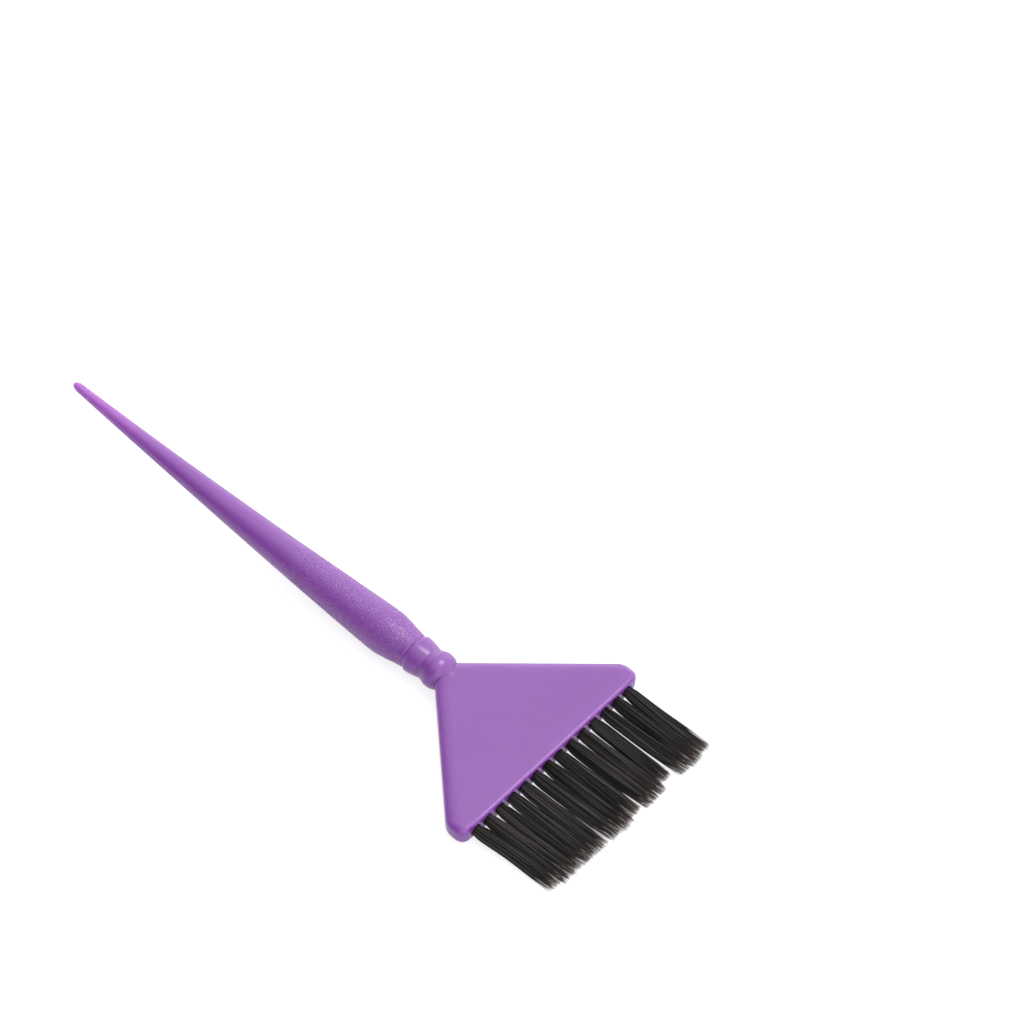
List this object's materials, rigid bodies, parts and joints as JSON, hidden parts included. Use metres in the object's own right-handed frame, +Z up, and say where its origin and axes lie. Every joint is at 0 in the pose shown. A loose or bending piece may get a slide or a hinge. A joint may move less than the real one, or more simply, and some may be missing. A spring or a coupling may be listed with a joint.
{
  "type": "tint brush",
  "caption": "Salon tint brush with a pin-tail handle, a pebbled grip, a flat fan head and a single row of dark bristle tufts for spreading hair colour.",
  "frame": {"origin": "on the table the brush lies on, under the middle of its bounding box", "axes": "+X along the brush from the tail tip to the bristle tips, +Y across the head, +Z up; the brush lies on its grip and on the lip of its head, so its own axis dips about four degrees towards the bristles"},
  "size_m": [0.2194, 0.0748, 0.0183],
  "materials": {
    "purple_plastic": "semi-gloss moulded polypropylene, pebbled on the grip",
    "nylon_bristle": "satin nylon filament",
    "anchor_wire": "drawn flat wire"
  },
  "bodies": {
    "root": {"brush_body": "purple_plastic", "tuft_01": "nylon_bristle", "tuft_02": "nylon_bristle", "tuft_03": "nylon_bristle", "tuft_04": "nylon_bristle", "tuft_05": "nylon_bristle", "tuft_06": "nylon_bristle", "tuft_07": "nylon_bristle", "tuft_08": "nylon_bristle", "tuft_09": "nylon_bristle", "tuft_10": "nylon_bristle", "tuft_11": "nylon_bristle", "tuft_12": "nylon_bristle", "tuft_13": "nylon_bristle", "tuft_14": "nylon_bristle", "anchor_01": "anchor_wire", "anchor_02": "anchor_wire", "anchor_03": "anchor_wire", "anchor_04": "anchor_wire", "anchor_05": "anchor_wire", "anchor_06": "anchor_wire", "anchor_07": "anchor_wire", "anchor_08": "anchor_wire", "anchor_09": "anchor_wire", "anchor_10": "anchor_wire", "anchor_11": "anchor_wire", "anchor_12": "anchor_wire", "anchor_13": "anchor_wire", "anchor_14": "anchor_wire"}
  },
  "joints": []
}
